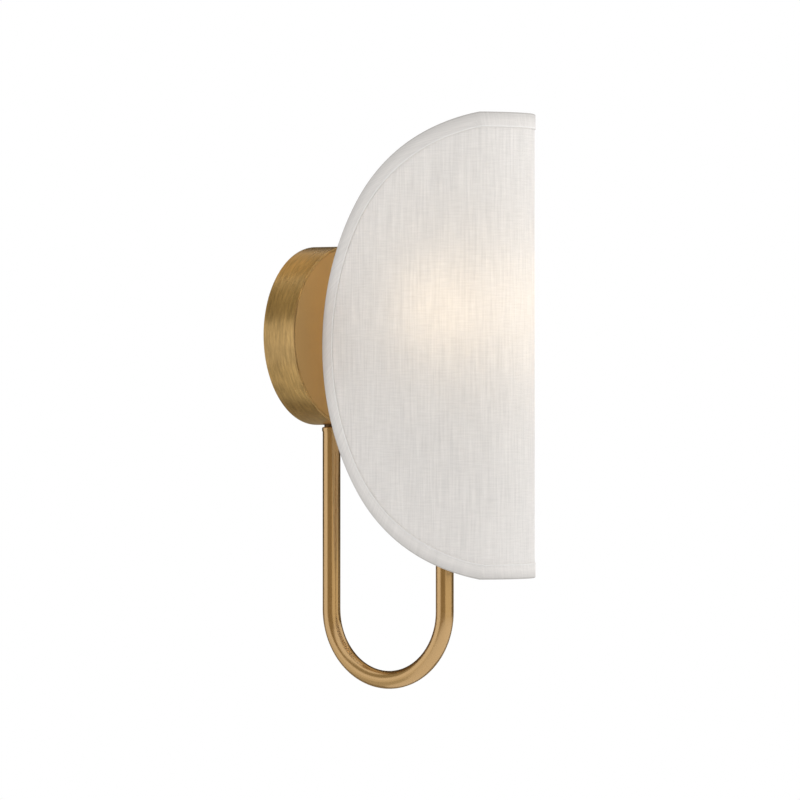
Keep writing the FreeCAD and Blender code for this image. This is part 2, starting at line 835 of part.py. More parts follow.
def trim_circle():
    """The radius of the shade's curved edge seen from the side, and its centre's reach.

    The arc passes the wall side's deepest point at mid height and both corners.
    """
    depth = number("shade_front - corner_setback - trim_middle")
    half = number("shade_half_height")
    radius = (depth ** 2 + half ** 2) / (2 * depth)
    return radius, number("trim_middle") + radius


def shade_layer(outer, inner):
    """A tall untrimmed layer of the bent sheet between two offsets."""
    tail_reach = number("trim_middle - sheet_spare")
    faces = [ShadePlan(offset).edges(tail_reach) for offset in (outer, inner)]
    ends = [(edges[0].Vertexes[0].Point, edges[-1].Vertexes[-1].Point) for edges in faces]
    caps = [Part.LineSegment(ends[0][k], ends[1][k]).toShape() for k in (0, 1)]
    outline = Part.Wire(Part.__sortEdges__(faces[0] + [caps[1]] + faces[1] + [caps[0]]))
    low = -number("shade_centre_drop + shade_half_height + sheet_spare")
    height = 2 * number("shade_half_height + sheet_spare")
    flat = Part.Face(outline)
    flat.translate(V(0, 0, low))
    return flat.extrude(V(0, 0, height))


def side_view(margin):
    """The shade's outline seen from the side, drawn in by margin, as a block."""
    full_radius, centre = trim_circle()
    radius = full_radius - margin
    half = number("shade_half_height") - margin
    drop = number("shade_centre_drop")
    front = number("shade_front + sheet_spare")
    corner = centre - math.sqrt(radius ** 2 - half ** 2)
    width = 2 * number("nose_radius + side_radius")

    def at(reach, height):
        return V(-width / 2, -reach, height - drop)

    outline = Part.Wire([
        Part.LineSegment(at(front, half), at(corner, half)).toShape(),
        Part.Arc(at(corner, half), at(centre - radius, 0), at(corner, -half)).toShape(),
        Part.LineSegment(at(corner, -half), at(front, -half)).toShape(),
        Part.LineSegment(at(front, -half), at(front, half)).toShape(),
    ])
    return Part.Face(outline).extrude(V(width, 0, 0))


def edge_strip(outer, inner, margin, width):
    """A layer's strip along the shade's whole edge, margin in from it."""
    strip = side_view(margin).cut(side_view(margin + width))
    return shade_layer(outer, inner).common(strip)


def feature(name, shape):
    piece = DOC.addObject("Part::Feature", name)
    piece.Shape = shape
    return finish_piece(piece, name)


def rod(start, end, radius):
    return Part.makeCylinder(radius, (end - start).Length, start, end - start)


def make_shade():
    fabric_in = number("fabric_thickness")
    liner_in = fabric_in + number("liner_thickness")
    wire = number("edge_wire")
    wrap = number("hem_thickness")
    fabric = shade_layer(0, fabric_in).common(side_view(wrap))
    liner = shade_layer(fabric_in, liner_in).common(side_view(wrap))
    edge_wire = edge_strip(liner_in, liner_in + wire, wrap, wire)
    frame = edge_wire.fuse(frame_arms(liner_in + wire / 2, wrap + wire / 2)).removeSplitter()
    band = edge_strip(-wrap, 0, 0, number("hem_width"))
    roll = edge_strip(-wrap, liner_in + wire + wrap, 0, number("roll_width"))
    hem = band.fuse(roll).cut(fabric.fuse([liner, frame])).removeSplitter()
    feature("shade_fabric", fabric)
    feature("shade_liner", liner.cut(frame))
    feature("shade_hem", hem)
    feature("shade_frame", frame)


def make_fitter_ring():
    """The flat ring clamped on the lamp holder's shoulder."""
    ring = turned("fitter_ring", rectangle(
        "fitter_bore_radius", FITTER_RADIUS, "0", "fitter_thickness"))
    place(ring, y=LAMP_AXIS, z=FITTER_SEAT)
    return finish_piece(ring, "fitter_ring")


def frame_arms(depth, margin):
    """Three wires from the fitter ring to the wire in the hem.

    Two run level to the shade's wall edges and one bends down to the front of
    its bottom edge. depth and margin place the hem wire's middle in the sheet.
    """
    level = number(f"{FITTER_SEAT} + fitter_thickness / 2")
    axis = -number(LAMP_AXIS)
    edge = number(FITTER_RADIUS)
    drop = number("shade_centre_drop")
    full_radius, centre = trim_circle()
    reach = centre - math.sqrt((full_radius - margin) ** 2 - (level + drop) ** 2)
    thick = number("edge_wire / 2")
    plan = ShadePlan(depth)
    tail = plan.tail_point(reach)
    arms = []
    for side in (-1, 1):
        end = V(side * tail.x, tail.y, level)
        out = (V(end.x, end.y, 0) - V(0, -axis, 0)).normalize()
        arms.append(rod(V(out.x * edge, out.y * edge - axis, level), end, thick))
    knee = axis + edge + number("arm_run")
    bottom = margin - drop - number("shade_half_height")
    path = rounded_route([
        V(0, -axis - edge, level),
        V(0, -knee, level),
        V(0, plan.nose_point(0).y, bottom),
    ], [number("arm_bend")])
    section = Part.Wire(Part.Circle(V(0, -axis - edge, level), V(0, 1, 0), thick).toShape())
    arms.append(path.makePipeShell([section], True, False))
    return arms


# ---------------------------------------------------------------- bulb

def on_bulb(thing, lift="0"):
    place(thing, y=LAMP_AXIS, z=f"{BULB_BASE} + {lift}")


def make_bulb_base():
    tip = turned("bulb_tip", [
        ("0", "0"),
        ("tip_radius - tip_bevel", "0"),
        ("tip_radius", "tip_height"),
        ("0", "tip_height"),
    ])
    on_bulb(tip)
    finish_piece(tip, "bulb_tip")
    foot = "bulb_cap_radius - bulb_cap_groove"
    insulator = turned("bulb_insulator", [
        ("0", "tip_height"),
        ("tip_radius + insulator_lip", "tip_height"),
        (f"{foot} - insulator_rim", CAP_FOOT),
        ("0", CAP_FOOT),
    ])
    on_bulb(insulator)
    finish_piece(insulator, "bulb_insulator")
    inner = f"{foot} - bulb_cap_wall"
    cap = turned("bulb_cap", [
        (inner, CAP_FOOT),
        (foot, CAP_FOOT),
        ("bulb_cap_radius", f"{CAP_FOOT} + bulb_cap_lead"),
        ("bulb_cap_radius", CAP_HEAD),
        (inner, CAP_HEAD),
    ])
    on_bulb(cap)
    finish_piece(cap, "bulb_cap")


def primitive(kind, name, lift, **sizes):
    """A Part primitive on the lamp's axis, its sizes bound to expressions."""
    solid = DOC.addObject("Part::" + kind, name)
    for prop, text in sizes.items():
        bind(solid, prop, text)
    on_bulb(solid, lift)
    return solid


def envelope(name, radius, neck):
    """A tubular lamp's solid form: neck, shoulder, barrel and round end."""
    low = f"({CAP_HEAD} - glass_sunk)"
    shoulder = f"({CAP_HEAD} + glass_collar)"
    barrel = f"({shoulder} + glass_shoulder)"
    top = f"({low} + glass_length - glass_radius)"
    form = DOC.addObject("Part::MultiFuse", name)
    form.Shapes = [
        primitive("Cylinder", name + "_neck", low, Radius=neck, Height=f"{shoulder} - {low}"),
        primitive("Cone", name + "_shoulder", shoulder, Radius1=neck, Radius2=radius,
                  Height="glass_shoulder"),
        primitive("Cylinder", name + "_barrel", barrel, Radius=radius,
                  Height=f"{top} - {barrel}"),
        primitive("Sphere", name + "_end", top, Radius=radius),
    ]
    return form


def make_bulb_glass():
    """A slim tubular lamp's envelope, open only into its cap."""
    glass = DOC.addObject("Part::Cut", "bulb_glass")
    glass.Base = envelope("glass_outside", "glass_radius", "glass_neck")
    glass.Tool = envelope("glass_inside", "glass_radius - glass_wall",
                          "glass_neck - glass_wall")
    return finish_piece(glass, "bulb_glass")


def make_filaments():
    disc = "filament_circle + filament_radius"
    foot = f"{CAP_HEAD} - glass_sunk"
    low, high = "light_height - filament_length / 2", "light_height + filament_length / 2"
    stem = turned("filament_stem", [
        ("0", foot),
        ("glass_neck - glass_wall - nut_fit", foot),
        ("glass_neck - glass_wall - nut_fit", f"{foot} + stem_disc"),
        ("stem_flare", f"{CAP_HEAD} + stem_flare_height"),
        ("stem_radius", f"{low} - stem_flare_height"),
        ("stem_radius", f"{low} - stem_disc"),
        (disc, f"{low} - stem_disc"),
        (disc, low),
        ("stem_radius", low),
        ("stem_radius", high),
        (disc, high),
        (disc, f"{high} + stem_disc"),
        ("0", f"{high} + stem_disc"),
    ])
    on_bulb(stem)
    finish_piece(stem, "filament_stem")
    sticks = []
    for i in range(int(number("filament_count"))):
        stick = DOC.addObject("Part::Cylinder", "led_stick")
        bind(stick, "Radius", "filament_radius")
        bind(stick, "Height", "filament_length")
        angle = f"({i} + 0.5) * 360 / filament_count"
        place(stick, x=f"filament_circle * cos({angle})",
              y=f"{LAMP_AXIS} + filament_circle * sin({angle})",
              z=f"{BULB_BASE} + {low}")
        sticks.append(stick)
    group = DOC.addObject("Part::Compound", "led_filaments")
    group.Links = sticks
    finish_piece(group, "led_filaments")


# ---------------------------------------------------------------- wiring

def rounded_route(points, radii):
    """Straight runs joined by tangent arcs, one radius for each inner point."""
    edges = []
    here = points[0]
    for i, radius in enumerate(radii, start=1):
        before = (points[i] - points[i - 1]).normalize()
        after = (points[i + 1] - points[i]).normalize()
        turn = before.getAngle(after)
        back = radius * math.tan(turn / 2)
        start, end = points[i] - before * back, points[i] + after * back
        inward = (after - before).normalize()
        middle = points[i] + inward * (radius / math.cos(turn / 2) - radius)
        if (start - here).Length > MATCH:
            edges.append(Part.LineSegment(here, start).toShape())
        edges.append(Part.Arc(start, middle, end).toShape())
        here = end
    edges.append(Part.LineSegment(here, points[-1]).toShape())
    return Part.Wire(edges)


def make_wire(name, start, aside, towards_wall):
    """A core from its start down the tube and round the bend to the holder.

    aside is the core's distance from the tube's middle along X, and
    towards_wall its distance from it towards the wall on the first leg.
    """
    inlet = number("inlet_reach") - towards_wall
    lamp = -number(LAMP_AXIS) + towards_wall
    radius = (lamp - inlet) / 2
    bend = -number("bend_drop")
    mouth = number(f"{COLLAR_TOP} + {NIPPLE_RISE}")
    end = number("porcelain_bottom - tube_end_drop")
    points = [
        *start,
        V(aside, -inlet, mouth),
        V(aside, -inlet, bend - radius),
        V(aside, -lamp, bend - radius),
        V(aside, -lamp, end),
    ]
    curve = number("wire_bend")
    radii = [curve] * (len(start)) + [radius, radius]
    path = rounded_route(points, radii[:len(points) - 2])
    first = path.Edges[0]
    heading = first.tangentAt(first.FirstParameter)
    core = Part.Wire(Part.Circle(points[0], heading, number("wire_radius")).toShape())
    sweep = path.makePipeShell([core], True, False)
    length = path.Length
    expected = math.pi * number("wire_radius") ** 2 * length
    print(f"{name}: length {length:.1f}, volume {sweep.Volume:.1f} of {expected:.1f}")
    return feature(name, sweep)


def make_wires():
    side = number("wire_offset")
    pole = number("pole_spacing") / 2
    front = number("strap_thickness + block_depth / 2")
    block_low = number("block_level - block_height / 2")
    for name, sign in (("live_wire", -1), ("neutral_wire", 1)):
        start = [V(sign * pole, -front, block_low),
                 V(sign * pole, -front, block_low - number("wire_entry"))]
        make_wire(name, start, sign * side, 0)
    screw = number(EARTH_HEIGHT)
    lift = number("strap_thickness + wire_radius")
    beside = number("block_width / 2 + earth_loop_gap")
    head = number("earth_head_radius + terminal_gap")
    loop = number("earth_loop_front")
    start = [
        V(head, -lift, screw),
        V(beside, -lift, screw),
        V(beside, -lift - loop / 2, screw - number("earth_loop_top")),
        V(beside, -lift - loop, block_low - number("wire_entry")),
    ]
    make_wire("earth_wire", start, 0, -side)


# ---------------------------------------------------------------- build

make_canopy_rim()
make_canopy_face()
make_wall_bracket()
make_canopy_screw()
make_earth_screw()
make_connector_block()
make_connector_screws()
make_inlet_nipple()
make_tube_collar()
make_saddle_washer()
make_lock_nut()
make_swan_tube()
make_socket_nipple()
make_socket_cap()
make_socket_skirt()
make_terminal_block()
make_screw_shell()
make_centre_contact()
make_terminal_screws()
make_shade_ring()
make_fitter_ring()
make_shade()
make_bulb_base()
make_bulb_glass()
make_filaments()
make_wires()
DOC.recompute()

faulty = [o.Name for o in DOC.Objects if {"Invalid", "Error"} & set(o.State)]
faulty += [p.Label for p in PIECES if p.Shape.isNull() or not p.Shape.isValid()]
if faulty:
    raise RuntimeError(f"these did not build: {faulty}")

os.makedirs("parts", exist_ok=True)
for piece in PIECES:
    piece.Shape.exportStep(f"parts/{piece.Label}.step")
    print(piece.Label, len(piece.Shape.Solids), round(piece.Shape.Volume, 1))
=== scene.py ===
import json
import math

import bpy
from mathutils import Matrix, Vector, noise


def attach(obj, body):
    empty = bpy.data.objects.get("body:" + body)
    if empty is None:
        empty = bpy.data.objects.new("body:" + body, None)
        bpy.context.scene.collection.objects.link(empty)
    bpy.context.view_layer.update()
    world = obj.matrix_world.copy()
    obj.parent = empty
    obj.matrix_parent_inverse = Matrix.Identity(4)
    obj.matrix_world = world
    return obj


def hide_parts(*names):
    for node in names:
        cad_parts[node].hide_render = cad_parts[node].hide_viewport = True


# Looks of the fabric shade wall light, in metres in the frame of the solids:
# the wall is the plane Y = 0, the light stands out towards -Y and +Z is up.

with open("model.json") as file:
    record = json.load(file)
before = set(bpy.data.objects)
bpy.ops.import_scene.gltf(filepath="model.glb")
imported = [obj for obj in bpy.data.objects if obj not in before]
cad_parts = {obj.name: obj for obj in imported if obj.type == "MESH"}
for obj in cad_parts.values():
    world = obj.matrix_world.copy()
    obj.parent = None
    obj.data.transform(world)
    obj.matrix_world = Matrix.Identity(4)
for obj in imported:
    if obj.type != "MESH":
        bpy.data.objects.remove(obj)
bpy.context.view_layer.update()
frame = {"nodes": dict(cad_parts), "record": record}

MM = 0.001

# ---------------------------------------------------------------- sizes

# The shade's plan and outline, the same sizes as in the part's source.
SHADE_FRONT = 169.2 * MM
NOSE_RADIUS = 41.0 * MM
NOSE_ANGLE = math.radians(64.5)
SIDE_RADIUS = 127.0 * MM
SIDE_ANGLE = math.radians(36.0)
TRIM_MIDDLE = 34.5 * MM
CORNER_SETBACK = 14.13 * MM
HALF_HEIGHT = 153.5 * MM
CENTRE_DROP = 7.5 * MM
SHEET_THICKNESS = 1.3 * MM
SHEET_MARGIN = 0.5 * MM
HEM_WIDTH = 10.0 * MM
HEM_PROUD = 0.5 * MM
ROLL_DEPTH = 4.0 * MM
LAMP_REACH = 105.5 * MM

# ---------------------------------------------------------------- meshes


def new_piece(name, points, faces, materials, slots=None, uvs=None):
    """A smooth mesh object; slots gives each face's material and uvs each point's place."""
    mesh = bpy.data.meshes.new(name)
    mesh.from_pydata([tuple(p) for p in points], [], faces)
    for material in materials:
        mesh.materials.append(material)
    if slots is not None:
        mesh.polygons.foreach_set("material_index", slots)
    if uvs is not None:
        layer = mesh.uv_layers.new(name="sheet")
        for loop in mesh.loops:
            layer.data[loop.index].uv = uvs[loop.vertex_index]
    mesh.polygons.foreach_set("use_smooth", [True] * len(mesh.polygons))
    mesh.update()
    thing = bpy.data.objects.new(name, mesh)
    bpy.context.scene.collection.objects.link(thing)
    return thing


def sharpen(thing, degrees):
    """Creases stay sharp where two faces meet at more than that angle."""
    thing.data.set_sharp_from_angle(angle=math.radians(degrees))


def ladder(low, high, count):
    """Evenly spaced values from low to high, both included."""
    return [low + (high - low) * i / (count - 1) for i in range(count)]


# ---------------------------------------------------------------- materials


class Shader:
    """A material's node tree, built up a node at a time."""

    def __init__(self, name):
        self.material = bpy.data.materials.new(name)
        self.material.use_nodes = True
        self.tree = self.material.node_tree
        self.tree.nodes.clear()

    def add(self, kind, inputs=None, output=0, **settings):
        """A node with its inputs set or linked; gives back one of its outputs."""
        made = self.tree.nodes.new("ShaderNode" + kind)
        for key, value in settings.items():
            setattr(made, key, value)
        for key, value in (inputs or {}).items():
            socket = made.inputs[key]
            if isinstance(value, bpy.types.NodeSocket):
                self.tree.links.new(value, socket)
            else:
                socket.default_value = value
        return made.outputs[output]

    def math(self, operation, *values):
        """Arithmetic on numbers or outputs."""
        return self.add("Math", dict(enumerate(values)), operation=operation)

    def noise(self, place, scale, detail=2.0, rough=0.5):
        """Noise whose grain is stretched by scale, read at place, from 0 to 1."""
        spot = self.add("Mapping", {"Vector": place, "Scale": scale})
        return self.add("TexNoise", {"Vector": spot, "Scale": 1.0, "Detail": detail,
                                     "Roughness": rough})

    def around(self, value, amount):
        """1 plus amount times how far the value lies from a half."""
        return self.math("MULTIPLY_ADD", value, amount, 1 - amount / 2)

    def ramp(self, value, low, high, start):
        """start where value is under low, rising to 1 where it is over high."""
        return self.add("MapRange", {"Value": value, "From Min": low, "From Max": high,
                                     "To Min": start, "To Max": 1.0})

    def tint(self, colour, factor):
        """A colour made lighter or darker by factor."""
        return self.add("VectorMath", {0: colour, "Scale": factor}, operation="SCALE")

    def bump(self, height, depth):
        """A surface direction tilted by a height from 0 to 1 that stands for depth."""
        return self.add("Bump", {"Height": height, "Distance": depth, "Strength": 1.0})

    def close(self, surface):
        """Ends the tree with that surface and gives back the material."""
        out = self.tree.nodes.new("ShaderNodeOutputMaterial")
        self.tree.links.new(surface, out.inputs["Surface"])
        return self.material


# Scales are grains to the metre, and spreads say how much a noise changes a value.
BRUSHING_DETAIL = 3.0
BRUSHING_ROUGHNESS = 0.65
BRASS_CLOUD = (28, 28, 28)
BRASS_GLOSS_SPREAD = 0.25
METAL_CLOUD = (90, 90, 90)
METAL_CLOUD_DETAIL = 3.0
METAL_TONE_SPREAD = 0.16
METAL_GLOSS_SPREAD = 0.3
PLASTIC_CLOUD = (60, 60, 60)
PLASTIC_TONE_SPREAD = 0.06
PLASTIC_GLOSS_SPREAD = 0.2
PLASTIC_COAT_ROUGHNESS = 0.12
STRIPE_PITCH = 3.0 * MM
STRIPE_GRAIN = (900, 900, 900)


def brass(name, colour, roughness, grain, tone, depth, anisotropy=0.0):
    """Satin brass; grain stretches the brushing along the part's own frame."""
    s = Shader(name)
    place = s.add("TexCoord", output="Object")
    lines = s.noise(place, grain, BRUSHING_DETAIL, BRUSHING_ROUGHNESS)
    cloud = s.noise(place, BRASS_CLOUD)
    factor = s.math("MULTIPLY", s.around(lines, tone), s.around(cloud, tone))
    rough = s.math("MULTIPLY", s.around(cloud, BRASS_GLOSS_SPREAD), roughness)
    return s.close(s.add("BsdfPrincipled", {
        "Base Color": s.tint(colour, factor),
        "Metallic": 1.0,
        "Roughness": rough,
        "Anisotropic": anisotropy,
        "Tangent": s.add("Tangent", direction_type="RADIAL", axis="Y"),
        "Normal": s.bump(lines, depth),
    }))


def metal(name, colour, roughness, scale=900, depth=0.02 * MM):
    """Plated or plain metal with a fine even grain."""
    s = Shader(name)
    place = s.add("TexCoord", output="Object")
    grain = s.noise(place, (scale,) * 3)
    cloud = s.noise(place, METAL_CLOUD, METAL_CLOUD_DETAIL)
    return s.close(s.add("BsdfPrincipled", {
        "Base Color": s.tint(colour, s.around(cloud, METAL_TONE_SPREAD)),
        "Metallic": 1.0,
        "Roughness": s.math("MULTIPLY", s.around(grain, METAL_GLOSS_SPREAD), roughness),
        "Normal": s.bump(grain, depth),
    }))


def plastic(name, colour, roughness, scale=700, depth=0.02 * MM, coat=0.0):
    """Moulded, powder coated or, with a coat, glazed."""
    s = Shader(name)
    place = s.add("TexCoord", output="Object")
    grain = s.noise(place, (scale,) * 3)
    cloud = s.noise(place, PLASTIC_CLOUD)
    return s.close(s.add("BsdfPrincipled", {
        "Base Color": s.tint(colour, s.around(cloud, PLASTIC_TONE_SPREAD)),
        "Roughness": s.math("MULTIPLY", s.around(grain, PLASTIC_GLOSS_SPREAD), roughness),
        "Coat Weight": coat,
        "Coat Roughness": PLASTIC_COAT_ROUGHNESS,
        "Normal": s.bump(grain, depth),
    }))


def striped(name, one, other, roughness):
    """Plastic in two colours that turn round a thin wire together."""
    s = Shader(name)
    place = s.add("TexCoord", output="Object")
    x, z = (s.add("SeparateXYZ", {"Vector": place}, output=axis) for axis in "XZ")
    run = s.math("MULTIPLY", s.math("ADD", x, z), 2 * math.pi / STRIPE_PITCH)
    share = s.math("GREATER_THAN", s.math("SINE", run), 0.0)
    colour = s.add("MixRGB", {0: share, 1: (*one, 1.0), 2: (*other, 1.0)})
    grain = s.noise(place, STRIPE_GRAIN)
    return s.close(s.add("BsdfPrincipled", {
        "Base Color": colour,
        "Roughness": s.math("MULTIPLY", s.around(grain, PLASTIC_GLOSS_SPREAD), roughness),
    }))


# The linen's yarns are lines to the metre along the sheet and up, each with the
# spread that it gives the cloth's tone.
UPRIGHT_SLUBS = (700, 34, 1)
UPRIGHT_SLUB_SPREAD = 0.25
UPRIGHT_STREAKS = (260, 12, 1)
UPRIGHT_STREAK_SPREAD = 0.06
LEVEL_SLUBS = (90, 1000, 1)
LEVEL_SLUB_SPREAD = 0.15
PATCHES = (60, 22, 1)
PATCH_SPREAD = 0.045
YARN_DETAIL = 2.0
YARN_ROUGHNESS = 0.6
WEAVE_PITCH = 0.62 * MM
WEAVE_SHARE = 0.25
WEAVE_DEPTH = 0.12 * MM
THROUGH_POWER = 1.5
LINING_SPREAD = 0.05
LINING_DEPTH = 0.03 * MM
# Painted shade on the tape: its darker outer edge by its width and tone, and the heights
# between which its raised inner edge falls to a darker tone, as light from above would leave it.
TAPE_EDGE_SHADE = (6.0 * MM, 0.81)
BEAD_SHADE_BELOW = (-118.0 * MM, -62.0 * MM, 0.92)


def linen(name, face, through, share, contrast, edge=None, foot=None):
    """Woven linen lit from both sides; share is how much of it light passes.

    edge, as (width, tone), paints shade along a tape's outer edge, and foot, as
    (low, high, tone), paints shade below those heights, standing for light from above.
    """
    s = Shader(name)
    place = s.add("TexCoord", output="UV")
    upright, streaks, level = (s.noise(place, yarns, YARN_DETAIL, YARN_ROUGHNESS)
                               for yarns in (UPRIGHT_SLUBS, UPRIGHT_STREAKS, LEVEL_SLUBS))
    patches = s.noise(place, PATCHES)
    factor = s.around(upright, UPRIGHT_SLUB_SPREAD * contrast)
    for grain, spread in ((streaks, UPRIGHT_STREAK_SPREAD), (level, LEVEL_SLUB_SPREAD),
                          (patches, PATCH_SPREAD)):
        factor = s.math("MULTIPLY", factor, s.around(grain, spread * contrast))
    across, up = (s.add("SeparateXYZ", {"Vector": place}, output=axis) for axis in "XY")
    # Painted shade: darker towards the tape's outer edge.
    if edge:
        width, tone = edge
        factor = s.math("MULTIPLY", factor, s.ramp(up, 0.0, width, tone))
    # Painted shade: darker below the given heights, as if lit from above.
    if foot:
        stand = s.add("TexCoord", output="Object")
        rise = s.add("SeparateXYZ", {"Vector": stand}, output="Z")
        factor = s.math("MULTIPLY", factor, s.ramp(rise, *foot))
    turn = 2 * math.pi / WEAVE_PITCH
    weave = s.math("MULTIPLY",
                   s.math("SINE", s.math("MULTIPLY", across, turn)),
                   s.math("SINE", s.math("MULTIPLY", up, turn)))
    height = s.math("ADD", s.math("MULTIPLY", weave, WEAVE_SHARE), s.math("ADD", upright, level))
    normal = s.bump(height, WEAVE_DEPTH)
    solid = s.add("BsdfDiffuse", {"Color": s.tint(face, factor), "Normal": normal})
    passed = s.math("POWER", factor, THROUGH_POWER)
    lit = s.add("BsdfTranslucent", {"Color": s.tint(through, passed), "Normal": normal})
    return s.close(s.add("MixShader", {0: share, 1: solid, 2: lit}))


def lining(name, face, share):
    """The smooth white film laminated inside the shade."""
    s = Shader(name)
    place = s.add("TexCoord", output="UV")
    ghost = s.noise(place, UPRIGHT_STREAKS)
    factor = s.around(ghost, LINING_SPREAD)
    normal = s.bump(ghost, LINING_DEPTH)
    solid = s.add("BsdfDiffuse", {"Color": s.tint(face, factor), "Normal": normal})
    lit = s.add("BsdfTranslucent", {"Color": s.tint(face, factor)})
    return s.close(s.add("MixShader", {0: share, 1: solid, 2: lit}))


def glow(name, colour, strength, cloud_scale, spread):
    """A surface that gives light, a little uneven."""
    s = Shader(name)
    place = s.add("TexCoord", output="Object")
    cloud = s.noise(place, cloud_scale)
    return s.close(s.add("Emission", {
        "Color": colour, "Strength": s.math("MULTIPLY", s.around(cloud, spread), strength)}))


FROST_TONE = (0.80, 0.76, 0.68, 1.0)
FROST_ROUGHNESS = 0.35
FROST_COAT = 0.4
FROST_COAT_ROUGHNESS = 0.15
FROST_GRAIN = (1200, 1200, 1200)
FROST_DEPTH = 0.01 * MM
FROST_CLOUD = (40, 40, 22)
FROST_LIGHT_SPREAD = 0.3


def frosted_glow(name, colour, strength):
    """Frosted glass over a lit core: a soft skin that gives light of its own."""
    s = Shader(name)
    place = s.add("TexCoord", output="Object")
    grain = s.noise(place, FROST_GRAIN)
    cloud = s.noise(place, FROST_CLOUD)
    light = s.math("MULTIPLY", s.around(cloud, FROST_LIGHT_SPREAD), strength)
    return s.close(s.add("BsdfPrincipled", {
        "Base Color": FROST_TONE,
        "Roughness": FROST_ROUGHNESS,
        "Coat Weight": FROST_COAT,
        "Coat Roughness": FROST_COAT_ROUGHNESS,
        "Emission Color": colour,
        "Emission Strength": light,
        "Normal": s.bump(grain, FROST_DEPTH),
    }))


# Brass is given by its colour, roughness, the grain, tone spread and depth of its
# brushing, and anisotropy; linen by the tone of its face, the tint of the light that
# passes, the share that passes, and the contrast of its yarns.
MATERIALS = {
    "brushed_brass": brass("brushed brass rim", (0.50, 0.325, 0.13), 0.27,
                           (95, 700, 95), 1.20, 0.090 * MM, 0.4),
    "tube_brass": brass("brushed brass tube", (0.57, 0.37, 0.175), 0.22,
                        (60, 60, 60), 0.05, 0.0),
    "satin_brass": brass("satin brass", (0.62, 0.42, 0.185), 0.80,
                         (700, 700, 700), 0.06, 0.004 * MM),
    # Steel painted dark as shade, for the nipple in the shaded gap under the backplate.
    "shadow_steel": metal("steel painted in shade", (0.10, 0.06, 0.03), 0.40),
    "zinc_steel": metal("zinc plated steel", (0.56, 0.57, 0.58), 0.38),
    "white_nylon": plastic("white nylon", (0.80, 0.80, 0.77), 0.45),
    "white_plastic": plastic("white plastic", (0.84, 0.83, 0.79), 0.35),
    "porcelain": plastic("porcelain", (0.86, 0.85, 0.81), 0.22, 300, 0.01 * MM, 0.6),
    "nickel": metal("nickel plate", (0.66, 0.64, 0.60), 0.22, 700),
    "linen": linen("linen", (0.87, 0.853, 0.835), (0.92, 0.875, 0.84), 0.30, 1.0),
    "shade_lining": lining("shade lining", (0.93, 0.925, 0.91), 0.60),
    "linen_tape": linen("linen tape", (0.875, 0.845, 0.815), (0.90, 0.86, 0.82), 0.14, 0.8,
                        edge=TAPE_EDGE_SHADE),
    "white_wire": plastic("white powder coat", (0.84, 0.84, 0.81), 0.40, 1500),
    "frosted_glass": frosted_glow("frosted lit glass", (1.0, 0.74, 0.40, 1.0), 0.5),
    "black_glass": plastic("black glass", (0.02, 0.02, 0.022), 0.12, 300, 0.01 * MM, 0.5),
    "solder": metal("solder", (0.50, 0.50, 0.49), 0.45, 400, 0.05 * MM),
    "filament": glow("lit filament", (1.0, 0.62, 0.22, 1.0), 9.0, (200, 200, 900), 0.4),
    "brown_core": plastic("brown core", (0.10, 0.035, 0.013), 0.38),
    "blue_core": plastic("blue core", (0.012, 0.09, 0.38), 0.38),
    "earth_core": striped("green and yellow core", (0.02, 0.20, 0.03), (0.75, 0.58, 0.02), 0.38),
}
# The raised inner edge's lighter tone is a painted highlight that fades below the given heights;
# the fold's dark tone is painted shade.
BINDING_BEAD_HIGHLIGHT = linen("linen tape bead", (0.92, 0.90, 0.875), (0.9, 0.88, 0.84), 0.08, 0.5,
                     foot=BEAD_SHADE_BELOW)
BINDING_FOLD_SHADE = linen("linen tape fold", (0.56, 0.54, 0.515), (0.5, 0.48, 0.46), 0.08, 1.2)


def dress(node, slot):
    """A node that stays as it is gets its slot's material."""
    mesh = frame["nodes"][node].data
    mesh.materials.clear()
    mesh.materials.append(MATERIALS[slot])


# The inlet nipple is zinc plated steel; its dark steel here is painted shade for the gap between
# the backplate and the collar.
FINISHES_AND_SHADE = {"swan_tube": "tube_brass", "tube_collar": "tube_brass", "inlet_nipple": "shadow_steel"}
for part in frame["record"]["subparts"]:
    dress(part["node"], FINISHES_AND_SHADE.get(part["node"], part["material_slot"]))

# ---------------------------------------------------------------- shade


